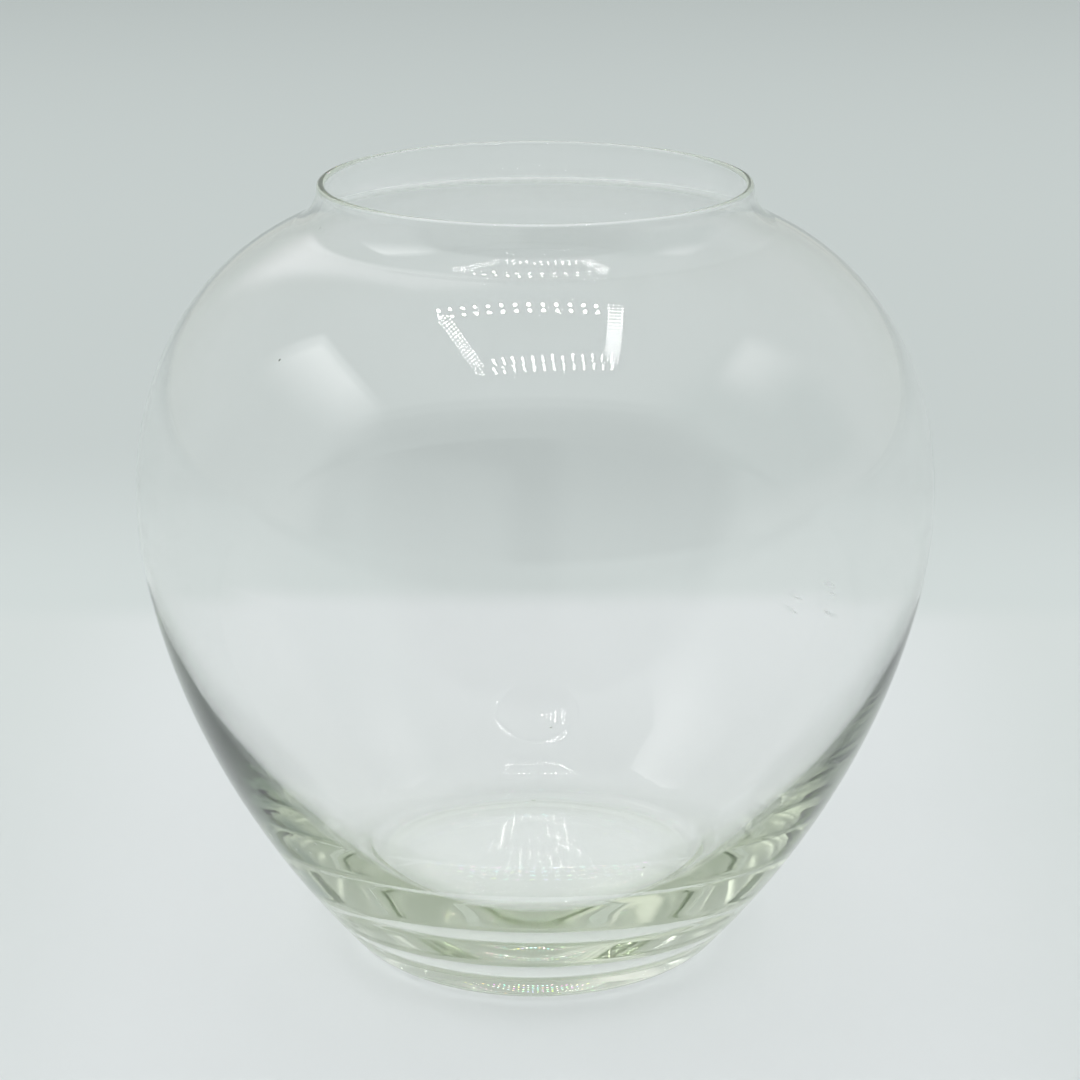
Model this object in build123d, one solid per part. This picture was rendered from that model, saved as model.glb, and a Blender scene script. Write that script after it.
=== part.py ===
from build123d import *
import math
import os

# A rose bowl vase of clear glass: one blown piece, round about the Z axis, open at the top.
# It stands on the ring under its base, and the origin is the middle of that ring. Millimetres and degrees.

# Mouth: a short collar with a fire-polished rim
total_height = 220.0
rim_radius = 59.1
rim_wall = 2.2
collar_height = 9.2
collar_taper = 5.8
collar_fillet = 12.0

# Shoulder and belly: a fullness is how far a curve reaches towards the corner of its end tangents
shoulder_slope = 23.4
shoulder_fullness = 0.64
belly_radius = 111.1
belly_height = 131.1
belly_top_fullness = 0.63
belly_bottom_fullness = 0.13
belly_wall = 1.05

# Lower wall, heel and the ring it stands on
wall_slope = 50.6
wall_fullness = 0.965
heel_radius = 11.0
foot_radius = 48.4
ring_width = 4.4
base_recess = 1.0

# Heavy bottom: the wall thickens below the belly, and a wide round corner joins it to a thick, flat floor
heavy_wall = 6.9
heavy_wall_fraction = 0.23
heavy_wall_wedge = 8.1
heavy_top_fullness = 0.4
heavy_bottom_fullness = 0.81
floor_thickness = 10.7
floor_fillet = 26.2


def heading(degrees):
    """The unit step of a line that rises outwards by this angle."""
    return Vector(math.cos(math.radians(degrees)), math.sin(math.radians(degrees)))


def tangent_corner(start, start_angle, end, end_angle):
    """The corner where the tangents at a curve's two ends cross."""
    along = heading(start_angle)
    across = heading(end_angle)
    gap = end - start
    reach = (gap.X * across.Y - gap.Y * across.X) / (along.X * across.Y - along.Y * across.X)
    return start + along * reach


def swell(start, start_angle, start_fullness, end, end_angle, end_fullness):
    """A smooth curve from start to end, inside the corner of its end tangents."""
    corner = tangent_corner(start, start_angle, end, end_angle)
    first = start + (corner - start) * start_fullness
    last = end + (corner - end) * end_fullness
    return Bezier(start, first, last, end)


# Outer outline, from the middle of the base up to the rim
base_middle = Vector(0, base_recess)
ring_inside = Vector(foot_radius - ring_width, 0)
ring_outside = Vector(foot_radius, 0)
heel_top = Vector(foot_radius, heel_radius) + heading(wall_slope - 90) * heel_radius
belly = Vector(belly_radius, belly_height)

# The collar leans in by its taper, and a fillet joins it to the shoulder
collar_angle = 90 + collar_taper
shoulder_angle = 180 - shoulder_slope
collar_outwards = heading(collar_taper)
rim_middle = Vector(rim_radius - rim_wall / 2, total_height - rim_wall / 2)
rim_outside = rim_middle + collar_outwards * (rim_wall / 2)
collar_rise = rim_outside.Y - (total_height - collar_height)
collar_corner = rim_outside - heading(collar_angle) * (collar_rise / math.cos(math.radians(collar_taper)))
fillet_reach = collar_fillet * math.tan(math.radians((shoulder_angle - collar_angle) / 2))
shoulder_top = collar_corner - heading(shoulder_angle) * fillet_reach
collar_foot = collar_corner + heading(collar_angle) * fillet_reach

lower_wall = swell(heel_top, wall_slope, wall_fullness, belly, 90, belly_bottom_fullness)
shoulder = swell(belly, 90, belly_top_fullness, shoulder_top, shoulder_angle, shoulder_fullness)

# Inner outline, from the rim down to the floor: each wall is measured square to the outer outline
rim_inside = rim_middle - collar_outwards * (rim_wall / 2)
collar_foot_inside = collar_foot - collar_outwards * rim_wall
shoulder_top_inside = shoulder_top + heading(shoulder_angle + 90) * rim_wall
belly_inside = belly - Vector(belly_wall, 0)
heavy_outside = lower_wall.position_at(heavy_wall_fraction)
heavy_rise = lower_wall.tangent_at(heavy_wall_fraction)
heavy_outside_angle = math.degrees(math.atan2(heavy_rise.Y, heavy_rise.X))
heavy_inside = heavy_outside + heading(heavy_outside_angle + 90) * heavy_wall
heavy_inside_angle = heavy_outside_angle - heavy_wall_wedge
floor_middle = Vector(0, floor_thickness)
floor_corner = tangent_corner(floor_middle, 0, heavy_inside, heavy_inside_angle)
floor_reach = floor_fillet * math.tan(math.radians(heavy_inside_angle / 2))
wall_foot_inside = floor_corner + heading(heavy_inside_angle) * floor_reach
floor_edge = floor_corner - Vector(floor_reach, 0)

shoulder_inside = swell(
    belly_inside, 90, belly_top_fullness, shoulder_top_inside, shoulder_angle, shoulder_fullness
)
wall_inside = swell(
    heavy_inside, heavy_inside_angle, heavy_bottom_fullness, belly_inside, 90, heavy_top_fullness
)

half_section = make_face(
    [
        TangentArc(base_middle, ring_inside, tangent=(1, 0)),
        Line(ring_inside, ring_outside),
        TangentArc(ring_outside, heel_top, tangent=(1, 0)),
        lower_wall,
        shoulder,
        TangentArc(shoulder_top, collar_foot, tangent=heading(shoulder_angle)),
        Line(collar_foot, rim_outside),
        TangentArc(rim_outside, rim_inside, tangent=heading(collar_angle)),
        Line(rim_inside, collar_foot_inside),
        TangentArc(collar_foot_inside, shoulder_top_inside, tangent=heading(collar_angle + 180)),
        shoulder_inside,
        wall_inside,
        Line(heavy_inside, wall_foot_inside),
        TangentArc(wall_foot_inside, floor_edge, tangent=heading(heavy_inside_angle + 180)),
        Line(floor_edge, floor_middle),
        Line(floor_middle, base_middle),
    ]
)
glass_bowl = revolve(Plane.XZ * half_section, Axis.Z)

os.makedirs("parts", exist_ok=True)
export_step(glass_bowl, "parts/glass_bowl.step")
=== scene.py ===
import math

import bpy
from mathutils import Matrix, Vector


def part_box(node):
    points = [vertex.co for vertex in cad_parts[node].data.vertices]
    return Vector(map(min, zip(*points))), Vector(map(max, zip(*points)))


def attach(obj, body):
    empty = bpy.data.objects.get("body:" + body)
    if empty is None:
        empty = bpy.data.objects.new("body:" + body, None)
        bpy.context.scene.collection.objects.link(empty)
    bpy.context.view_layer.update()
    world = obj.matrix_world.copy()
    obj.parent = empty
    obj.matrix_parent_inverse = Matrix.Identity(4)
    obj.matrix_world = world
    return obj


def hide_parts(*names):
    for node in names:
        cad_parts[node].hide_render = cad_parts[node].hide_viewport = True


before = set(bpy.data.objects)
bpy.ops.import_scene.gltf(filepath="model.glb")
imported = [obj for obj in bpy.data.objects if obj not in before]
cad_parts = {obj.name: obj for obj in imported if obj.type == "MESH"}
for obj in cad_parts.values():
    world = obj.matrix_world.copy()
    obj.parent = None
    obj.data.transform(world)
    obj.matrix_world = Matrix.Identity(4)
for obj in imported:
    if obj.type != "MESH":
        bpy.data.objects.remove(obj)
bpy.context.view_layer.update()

# The bowl: one piece of clear soda-lime glass, blown in a mould, cracked off and fire-polished at the rim.
# The belly is about a millimetre thick, and the glass gathers in the lower wall and in a thick, flat floor.
# Half its outline is drawn once and spun about the upright axis, as the blower turned it on the pipe.
mm = 0.001
top_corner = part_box("glass_bowl")[1]
total_height = top_corner.z
belly_radius = top_corner.x
rim_radius = 59.1 * mm
rim_wall = 2.2 * mm
collar_height = 9.2 * mm
collar_taper = 5.8
collar_fillet = 12.0 * mm
shoulder_slope = 23.4
shoulder_fullness = 0.64
belly_height = 131.1 * mm
belly_top_fullness = 0.63
belly_bottom_fullness = 0.13
belly_wall = 1.05 * mm
wall_slope = 50.6
wall_fullness = 0.965
heel_radius = 11.0 * mm
foot_radius = 48.4 * mm
ring_width = 4.4 * mm
base_recess = 1.0 * mm
heavy_wall_top = Vector((70.19, 33.83)) * mm
heavy_wall_angle = 49.02
heavy_top_fullness = 0.4
heavy_bottom_fullness = 0.81
floor_thickness = 10.7 * mm
floor_fillet = 26.2 * mm
outline_steps = 36
turn_steps = 160


def heading(degrees):
    """A step of length one at this angle, as radius and height."""
    return Vector((math.cos(math.radians(degrees)), math.sin(math.radians(degrees))))


def tangent_corner(start, start_angle, end, end_angle):
    """The point where the end tangents of a curve cross."""
    leave = heading(start_angle)
    arrive = heading(end_angle)
    along = (end - start).cross(arrive) / leave.cross(arrive)
    return start + leave * along


def swell_to(start_angle, start_fullness, end, end_angle, end_fullness):
    """Draws the outline on to a point, each handle its share of the way to the corner of the tangents."""
    knot = outline[-1]
    corner = tangent_corner(knot["at"], start_angle, end, end_angle)
    knot["leaves by"] = knot["at"].lerp(corner, start_fullness)
    outline.append({"at": end, "comes by": end.lerp(corner, end_fullness), "leaves by": end})


def round_to(start_angle, end, end_angle):
    """Draws a round corner on to a point."""
    turn = math.radians(end_angle - start_angle)
    fullness = 4 / 3 * math.tan(turn / 4) / math.tan(turn / 2)
    swell_to(start_angle, fullness, end, end_angle, fullness)


def line_to(end):
    """Draws a straight stretch on to a point."""
    knot = outline[-1]
    knot["leaves by"] = knot["at"].lerp(end, 1 / 3)
    outline.append({"at": end, "comes by": knot["at"].lerp(end, 2 / 3), "leaves by": end})


# Outside of the bowl, from the middle of the base to the top of the rim
base_middle = Vector((0, base_recess))
ring_inside = Vector((foot_radius - ring_width, 0))
recess_angle = -2 * math.degrees(math.atan2(base_recess, ring_inside.x))
heel_top = Vector((foot_radius, heel_radius)) + heading(wall_slope - 90) * heel_radius
belly = Vector((belly_radius, belly_height))
collar_angle = 90 + collar_taper
shoulder_angle = 180 - shoulder_slope
rim_middle = Vector((rim_radius - rim_wall / 2, total_height - rim_wall / 2))
rim_outside = rim_middle + heading(collar_taper) * (rim_wall / 2)
collar_rise = rim_outside.y - (total_height - collar_height)
collar_corner = rim_outside - heading(collar_angle) * (collar_rise / math.cos(math.radians(collar_taper)))
fillet_reach = collar_fillet * math.tan(math.radians(shoulder_angle - collar_angle) / 2)
shoulder_top = collar_corner - heading(shoulder_angle) * fillet_reach
collar_foot = collar_corner + heading(collar_angle) * fillet_reach
rim_top = rim_middle + heading(collar_angle) * (rim_wall / 2)
outline = [{"at": base_middle, "comes by": base_middle, "leaves by": base_middle}]
round_to(0, ring_inside, recess_angle)
line_to(Vector((foot_radius, 0)))
round_to(0, heel_top, wall_slope)
swell_to(wall_slope, wall_fullness, belly, 90, belly_bottom_fullness)
swell_to(90, belly_top_fullness, shoulder_top, shoulder_angle, shoulder_fullness)
round_to(shoulder_angle, collar_foot, collar_angle)
line_to(rim_outside)
round_to(collar_angle, rim_top, collar_angle + 90)

# Inside of the bowl, from the top of the rim down to the middle of the floor
knots_to_rim = len(outline) - 1
belly_inside = belly - Vector((belly_wall, 0))
collar_inside = collar_foot - heading(collar_taper) * rim_wall
shoulder_inside = shoulder_top + heading(shoulder_angle + 90) * rim_wall
floor_corner = tangent_corner(Vector((0, floor_thickness)), 0, heavy_wall_top, heavy_wall_angle)
floor_reach = floor_fillet * math.tan(math.radians(heavy_wall_angle) / 2)
round_to(collar_angle + 90, rim_middle - heading(collar_taper) * (rim_wall / 2), collar_angle + 180)
line_to(collar_inside)
round_to(collar_angle + 180, shoulder_inside, shoulder_angle + 180)
swell_to(shoulder_angle + 180, shoulder_fullness, belly_inside, 270, belly_top_fullness)
swell_to(270, heavy_top_fullness, heavy_wall_top, heavy_wall_angle + 180, heavy_bottom_fullness)
line_to(floor_corner + heading(heavy_wall_angle) * floor_reach)
round_to(heavy_wall_angle + 180, floor_corner - Vector((floor_reach, 0)), 180)
line_to(Vector((0, floor_thickness)))

# The outline as a curve, then as a mesh that is spun once round
bpy.ops.object.select_all(action="DESELECT")
bpy.ops.curve.primitive_bezier_curve_add(location=(0, 0, 0))
bowl = bpy.context.object
bowl.name = "glass_bowl_blown"
bowl.data.resolution_u = outline_steps
spline = bowl.data.splines[0]
spline.bezier_points.add(len(outline) - len(spline.bezier_points))
for point, knot in zip(spline.bezier_points, outline):
    point.handle_left_type = "FREE"
    point.handle_right_type = "FREE"
    point.co = (knot["at"].x, 0, knot["at"].y)
    point.handle_left = (knot["comes by"].x, 0, knot["comes by"].y)
    point.handle_right = (knot["leaves by"].x, 0, knot["leaves by"].y)
bpy.ops.object.convert(target="MESH")
bowl = bpy.context.object

# Only the inside is uneven, because the mould shapes the outside: its group fades in below the rim
inner_wall = bowl.vertex_groups.new(name="inner wall")
rim_vertex = knots_to_rim * outline_steps
for vertex in bowl.data.vertices:
    below_rim = (vertex.index - rim_vertex) / (4 * outline_steps)
    inner_wall.add([vertex.index], min(max(below_rim, 0), 1), "REPLACE")
bpy.ops.object.mode_set(mode="EDIT")
bpy.ops.mesh.select_all(action="SELECT")
bpy.ops.mesh.spin(steps=turn_steps, angle=math.tau, center=(0, 0, 0), axis=(0, 0, 1))
bpy.ops.mesh.select_all(action="SELECT")
bpy.ops.mesh.remove_doubles(threshold=0.001 * mm)
bpy.ops.mesh.normals_make_consistent(inside=False)
bpy.ops.object.mode_set(mode="OBJECT")
bpy.ops.object.shade_smooth()

# The left wall is a little thicker than the right, and the inside waves where the glass ran as it cooled
wall_drift = 0.25 * mm
wave_height = 0.1 * mm
wave_length = 45 * mm
bpy.ops.object.modifier_add(type="DISPLACE")
drift = bowl.modifiers[-1]
drift.vertex_group = "inner wall"
drift.direction = "X"
drift.mid_level = 0
drift.strength = wall_drift
bpy.ops.object.modifier_apply(modifier=drift.name)
cooling_waves = bpy.data.textures.new("cooling waves", "CLOUDS")
cooling_waves.noise_scale = wave_length
bpy.ops.object.modifier_add(type="DISPLACE")
waves = bowl.modifiers[-1]
waves.vertex_group = "inner wall"
waves.texture = cooling_waves
waves.texture_coords = "LOCAL"
waves.strength = wave_height
bpy.ops.object.modifier_apply(modifier=waves.name)


def linear(hex_colour):
    """An sRGB hex colour as linear red, green and blue."""
    shares = [int(hex_colour[i:i + 2], 16) / 255 for i in (1, 3, 5)]
    return [s / 12.92 if s <= 0.04045 else ((s + 0.055) / 1.055) ** 2.4 for s in shares] + [1]


def add_node(tree, kind, inputs=None, **settings):
    """Adds a node with its settings, and sets or links each of its inputs that is named."""
    node = tree.nodes.new("ShaderNode" + kind)
    for name, value in settings.items():
        setattr(node, name, value)
    for name, value in (inputs or {}).items():
        if isinstance(value, bpy.types.NodeSocket):
            tree.links.new(value, node.inputs[name])
        else:
            node.inputs[name].default_value = value
    return node


# Clear soda-lime glass, mould-blown and fire-polished: sharp reflections, and grey-green where it is thick.
# Cords in the melt bend the view a little, and a few seeds dot it.
# The ring that it stands on is scuffed matt, and short rubs show at the right of the belly.
cord_width = 14 * mm
cord_height = 0.003 * mm
seed_spacing = 18 * mm
seed_radius = 0.45 * mm
seed_height_in_cords = 60
scuff_size = 0.8 * mm
scuffed_height = 0.4 * mm
scuff_roughness = 0.2
rub_place = Vector((70, -86.3, 130)) * mm
rub_patch_radius = 6 * mm
rub_reach = 19 * mm
rub_roughness = 0.3
rub_width = 1.2 * mm
rub_stretch = 6
rub_slant = 30
glass = bpy.data.materials.new("clear soda-lime glass")
glass.use_nodes = True
tree = glass.node_tree
tree.nodes.clear()
place = add_node(tree, "TexCoord").outputs["Object"]
height = add_node(tree, "SeparateXYZ", {"Vector": place}).outputs["Z"]
cords = add_node(tree, "TexNoise", {"Vector": place, "Scale": 1 / cord_width, "Detail": 1}).outputs["Fac"]
seed_cells = add_node(tree, "TexVoronoi", {"Vector": place, "Scale": 1 / seed_spacing}).outputs["Distance"]
seeds = add_node(tree, "MapRange", {
    "Value": seed_cells, "From Min": 0, "From Max": seed_radius / seed_spacing, "To Min": 1, "To Max": 0,
}).outputs["Result"]
relief = add_node(tree, "Math", {
    0: seeds, 1: seed_height_in_cords, 2: cords,
}, operation="MULTIPLY_ADD").outputs["Value"]
bump = add_node(tree, "Bump", {"Height": relief, "Strength": 1, "Distance": cord_height}).outputs["Normal"]
scuffs = add_node(tree, "TexNoise", {"Vector": place, "Scale": 1 / scuff_size, "Detail": 3}).outputs["Fac"]
near_ring = add_node(tree, "MapRange", {
    "Value": height, "From Min": 0, "From Max": scuffed_height, "To Min": scuff_roughness, "To Max": 0,
}).outputs["Result"]
ring_wear = add_node(tree, "Math", {0: near_ring, 1: scuffs}, operation="MULTIPLY").outputs["Value"]
from_rub_place = add_node(tree, "Mapping", {"Vector": place, "Location": -rub_place}).outputs["Vector"]
distance = add_node(tree, "VectorMath", {0: from_rub_place}, operation="LENGTH").outputs["Value"]
rub_share = add_node(tree, "MapRange", {
    "Value": distance, "From Min": rub_patch_radius, "From Max": rub_reach,
    "To Min": rub_roughness, "To Max": 0,
}).outputs["Result"]
along_the_rubs = add_node(tree, "Mapping", {
    "Vector": place, "Rotation": (0, math.radians(rub_slant), 0), "Scale": (rub_stretch, rub_stretch, 1),
}, vector_type="TEXTURE").outputs["Vector"]
streaks = add_node(tree, "TexNoise", {
    "Vector": along_the_rubs, "Scale": 1 / rub_width, "Detail": 0,
}).outputs["Fac"]
rubs = add_node(tree, "MapRange", {"Value": streaks, "From Min": 0.67, "From Max": 0.73}).outputs["Result"]
rub_wear = add_node(tree, "Math", {0: rubs, 1: rub_share}, operation="MULTIPLY").outputs["Value"]
worn = add_node(tree, "Math", {0: ring_wear, 1: rub_wear}, operation="MAXIMUM").outputs["Value"]
surface = add_node(tree, "BsdfPrincipled", {
    "Base Color": linear("#FFFFFF"),
    "Roughness": worn,
    "IOR": 1.52,
    "Transmission Weight": 1,
    "Normal": bump,
})
depth = add_node(tree, "VolumeAbsorption", {"Color": linear("#D9E1CC"), "Density": 7.5})
add_node(tree, "OutputMaterial", {"Surface": surface.outputs["BSDF"], "Volume": depth.outputs["Volume"]})
bowl.data.materials.clear()
bowl.data.materials.append(glass)
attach(bowl, "root")
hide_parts("glass_bowl")

# The floor: a large sheet of pale matt board whose paint holds a painted pool of light: palest under the
# bowl, with painted shade greyer aside, behind and in front, and a soft painted step of shade behind the bowl
# where a backdrop would curve up.
# It is cut round and wide, so that no edge of it shows from any side.
board_radius = 12.0
board_sides = 96
board_gap = 0.1 * mm
bpy.ops.object.select_all(action="DESELECT")
bpy.ops.mesh.primitive_circle_add(
    vertices=board_sides, radius=board_radius, fill_type="NGON", location=(0, 0, -board_gap)
)
board = bpy.context.object
board.name = "studio_floor"
board_paint = bpy.data.materials.new("pale matt board")
board_paint.use_nodes = True
tree = board_paint.node_tree
tree.nodes.clear()
place = add_node(tree, "SeparateXYZ", {"Vector": add_node(tree, "TexCoord").outputs["Object"]}).outputs
aside = add_node(tree, "Math", {0: place["X"]}, operation="ABSOLUTE").outputs["Value"]
tone = linear("#E0E2E2")

# Where a Mix node has its two colours and its result: the sockets before them are for numbers and vectors
first_colour = 6
second_colour = 7
mixed_colour = 2

# Each greyer tone is painted shade of the light falling off, and takes over from the ones before it between
# two distances in metres
for distance, nearer, further, colour in (
    (aside, 0.1, 0.2, "#D6DAD8"),
    # A soft painted step of shade behind the bowl, where a backdrop would curve up out of the light
    (place["Y"], 0.238, 0.272, "#D3D8D6"),
    (place["Y"], 0.27, 0.5, "#C8CDCB"),
    (place["Y"], 0.9, 3, "#B2B7B5"),
    (place["Y"], -0.5, -1.2, "#AAAFAD"),
):
    share = add_node(tree, "MapRange", {
        "Value": distance, "From Min": nearer, "From Max": further,
    }, interpolation_type="SMOOTHSTEP")
    tone = add_node(tree, "Mix", {
        "Factor": share.outputs["Result"], first_colour: tone, second_colour: linear(colour),
    }, data_type="RGBA").outputs[mixed_colour]
paint = add_node(tree, "BsdfDiffuse", {"Color": tone})
add_node(tree, "OutputMaterial", {"Surface": paint.outputs["BSDF"]})
board.data.materials.append(board_paint)

# The lamp: a frame of four strips of small white diodes above the bowl, and two of tinted ones further back.
# They sparkle in the shoulder, the collar and the base, and the room light below does the rest.
# All strips share one material, and each has its strength in its object index, its tint in its object colour.
tint_size = 9 * mm
lamp_light = bpy.data.materials.new("white diodes")
lamp_light.use_nodes = True
tree = lamp_light.node_tree
tree.nodes.clear()
off_the_floor = add_node(tree, "Math", {
    0: add_node(tree, "LightPath").outputs["Diffuse Depth"], 1: 0.5,
}, operation="LESS_THAN")
strip_light = add_node(tree, "ObjectInfo").outputs
strength = add_node(tree, "Math", {
    0: off_the_floor.outputs["Value"], 1: strip_light["Object Index"],
}, operation="MULTIPLY")
place = add_node(tree, "TexCoord").outputs["Object"]
mixed = add_node(tree, "TexNoise", {"Vector": place, "Scale": 1 / tint_size, "Detail": 0})
vivid = add_node(tree, "BrightContrast", {"Color": mixed.outputs["Color"], "Bright": 0.4, "Contrast": 1.5})
tint = add_node(tree, "Mix", {
    "Factor": strip_light["Alpha"], first_colour: linear("#FFFFFF"), second_colour: vivid.outputs["Color"],
}, data_type="RGBA").outputs[mixed_colour]
glow = add_node(tree, "Emission", {"Color": tint, "Strength": strength.outputs["Value"]})
add_node(tree, "OutputMaterial", {"Surface": glow.outputs["Emission"]})
lamp_light.cycles.emission_sampling = "NONE"

# Each strip is one diode that is repeated along the strip and across it, with all lengths in millimetres
strips = {
    "lamp_back": {
        "from": (-83, -27, 400), "to": (50, -24, 400), "along": 13, "across": 2, "pitch": 3, "stagger": 0,
        "diode": 2.6, "strength": 80, "tint": 0,
    },
    "lamp_front": {
        "from": (-44, -147, 400), "to": (80, -133, 400), "along": 13, "across": 4, "pitch": 4, "stagger": 0,
        "diode": 2.1, "strength": 45, "tint": 0,
    },
    "lamp_left": {
        "from": (-61, -155, 400), "to": (-80, -42, 400), "along": 18, "across": 3, "pitch": 3.6,
        "stagger": 0.5, "diode": 1.6, "strength": 40, "tint": 0,
    },
    "lamp_right": {
        "from": (78, -125, 400), "to": (66, -18, 400), "along": 16, "across": 4, "pitch": 4, "stagger": 0,
        "diode": 1.6, "strength": 45, "tint": 0,
    },
    "lamp_rear": {
        "from": (-170, 580, 400), "to": (170, 580, 400), "along": 34, "across": 4, "pitch": 28, "stagger": 0,
        "diode": 4, "strength": 6, "tint": 1,
    },
    "lamp_rear_near": {
        "from": (-130, 220, 400), "to": (130, 220, 400), "along": 30, "across": 2, "pitch": 30, "stagger": 0,
        "diode": 3, "strength": 6, "tint": 1,
    },
}
for name, layout in strips.items():
    start = Vector(layout["from"]) * mm
    end = Vector(layout["to"]) * mm
    middle = (start + end) / 2
    run = end - start
    pitch = run.length / (layout["along"] - 1)
    row_pitch = layout["pitch"] * mm
    stagger = layout["stagger"] * pitch
    bpy.ops.object.select_all(action="DESELECT")
    bpy.ops.mesh.primitive_plane_add(size=layout["diode"] * mm, location=(0, 0, 0))
    strip = bpy.context.object
    strip.name = name
    bpy.ops.object.mode_set(mode="EDIT")
    bpy.ops.transform.translate(value=(-run.length / 2, -row_pitch * (layout["across"] - 1) / 2, 0))
    bpy.ops.object.mode_set(mode="OBJECT")
    for count, offset in ((layout["along"], (pitch, 0, 0)), (layout["across"], (stagger, row_pitch, 0))):
        bpy.ops.object.modifier_add(type="ARRAY")
        row = strip.modifiers[-1]
        row.count = count
        row.use_relative_offset = False
        row.use_constant_offset = True
        row.constant_offset_displace = offset
        bpy.ops.object.modifier_apply(modifier=row.name)
    strip.location = middle
    strip.rotation_euler = (0, 0, math.atan2(run.y, run.x))
    strip.pass_index = layout["strength"]
    strip.color = (1, 1, 1, layout["tint"])
    strip.data.materials.append(lamp_light)
    strip.visible_camera = False
    strip.visible_diffuse = False
    strip.visible_shadow = False

# The room: pale walls, a dark opening behind the camera, and soft windows at the left, right and back.
# Soft light from overhead falls on the floor, and the glass itself shows only a small share of it.
# A panel faces the bowl from an azimuth, and each of its edges fades from full to gone between two angles.
overhead_level = 1.25
overhead_start = 0.6
overhead_full = 0.9
overhead_share_in_glass = 0.12
least_ahead = 0.001
room = bpy.data.worlds.new("light room")
bpy.context.scene.world = room
room.use_nodes = True
tree = room.node_tree
tree.nodes.clear()
towards = add_node(tree, "TexCoord").outputs["Generated"]
part = add_node(tree, "SeparateXYZ", {"Vector": towards})
room_panels = {
    "right wall": {
        "azimuth": 76, "left": (-18, -36), "right": (18, 36), "bottom": (12, 2), "top": (42, 56),
        "colour": "#97A5A2", "strength": 1,
    },
    "back wall": {
        "azimuth": 180, "left": (-40, -70), "right": (40, 70), "bottom": (-50, -60), "top": (40, 70),
        "colour": "#C4CAC6", "strength": 1,
    },
    "back window": {
        "azimuth": 180, "left": (18, 4), "right": (28, 36), "bottom": (30, 12), "top": (58, 66),
        "colour": "#FFFFFF", "strength": 1.15,
    },
    "dark opening": {
        "azimuth": 0, "left": (-44, -70), "right": (34, 64), "bottom": (-50, -60), "top": (56, 59),
        "colour": "#0C2024", "strength": 1,
    },
    "front left wall": {
        "azimuth": -32, "left": (-18, -30), "right": (18, 30), "bottom": (-50, -60), "top": (26, 38),
        "colour": "#9CA3A2", "strength": 1,
    },
    "left window": {
        "azimuth": -90, "left": (-17, -22), "right": (8, 38), "bottom": (47, 26), "top": (47.8, 49.8),
        "colour": "#FFFFFF", "strength": 2.3,
    },
    "right window": {
        "azimuth": 90, "left": (4, -20), "right": (12, 24), "bottom": (46, 26), "top": (47, 50.5),
        "colour": "#FFFFFF", "strength": 1.45,
    },
}
light = linear("#CACFCD")
for panel in room_panels.values():
    azimuth = math.radians(panel["azimuth"])
    to_panel = (math.sin(azimuth), -math.cos(azimuth), 0)
    along_panel = (math.cos(azimuth), math.sin(azimuth), 0)
    facing = add_node(tree, "VectorMath", {0: towards, 1: to_panel}, operation="DOT_PRODUCT")
    sideways = add_node(tree, "VectorMath", {0: towards, 1: along_panel}, operation="DOT_PRODUCT")
    ahead = add_node(tree, "Math", {
        0: facing.outputs["Value"], 1: least_ahead,
    }, operation="MAXIMUM").outputs["Value"]
    aside = add_node(tree, "Math", {0: sideways.outputs["Value"], 1: ahead}, operation="DIVIDE")
    rise = add_node(tree, "Math", {0: part.outputs["Z"], 1: ahead}, operation="DIVIDE")
    share = 1
    for measure, side in ((aside, "left"), (aside, "right"), (rise, "bottom"), (rise, "top")):
        full, gone = panel[side]
        edge = add_node(tree, "MapRange", {
            "Value": measure.outputs["Value"],
            "From Min": math.tan(math.radians(full)),
            "From Max": math.tan(math.radians(gone)),
            "To Min": 1,
            "To Max": 0,
        }, interpolation_type="SMOOTHSTEP")
        inside_so_far = {0: share, 1: edge.outputs["Result"]}
        share = add_node(tree, "Math", inside_so_far, operation="MULTIPLY").outputs["Value"]
    colour = [panel["strength"] * channel for channel in linear(panel["colour"])]
    light = add_node(tree, "Mix", {
        "Factor": share, first_colour: light, second_colour: colour,
    }, data_type="RGBA").outputs[mixed_colour]
wall_light = add_node(tree, "Background", {"Color": light, "Strength": 1})
overhead = add_node(tree, "MapRange", {
    "Value": part.outputs["Z"], "From Min": overhead_start, "From Max": overhead_full,
    "To Max": overhead_level,
}, interpolation_type="SMOOTHSTEP")
on_the_floor = add_node(tree, "Math", {
    0: add_node(tree, "LightPath").outputs["Diffuse Depth"], 1: 0.5,
}, operation="GREATER_THAN")
seen_share = add_node(tree, "Math", {
    0: on_the_floor.outputs["Value"], 1: overhead_share_in_glass,
}, operation="MAXIMUM")
overhead_strength = add_node(tree, "Math", {
    0: overhead.outputs["Result"], 1: seen_share.outputs["Value"],
}, operation="MULTIPLY")
overhead_light = add_node(tree, "Background", {
    "Color": linear("#FAFBFF"), "Strength": overhead_strength.outputs["Value"],
})
both = add_node(tree, "AddShader", {
    0: wall_light.outputs["Background"], 1: overhead_light.outputs["Background"],
})
add_node(tree, "OutputWorld", {"Surface": both.outputs["Shader"]})

# Light goes to and fro many times inside the thick base before it leaves, so it is followed that far
bounces = 128
render = bpy.context.scene.cycles
render.max_bounces = bounces
render.glossy_bounces = bounces
render.transmission_bounces = bounces
render.sample_clamp_indirect = 0
render.blur_glossy = 0
bpy.context.scene.view_settings.view_transform = "Standard"

# The camera: a long lens above the height of the rim, with the bowl a touch left of the middle
camera_place = (0, -0.7035, 0.3569)
camera_tilt = 71.172
bpy.ops.object.camera_add(location=camera_place, rotation=(math.radians(camera_tilt), 0, 0))
camera = bpy.context.object
camera.data.lens = 87.59
camera.data.sensor_width = 36
camera.data.shift_x = 0.0042
bpy.context.scene.camera = camera
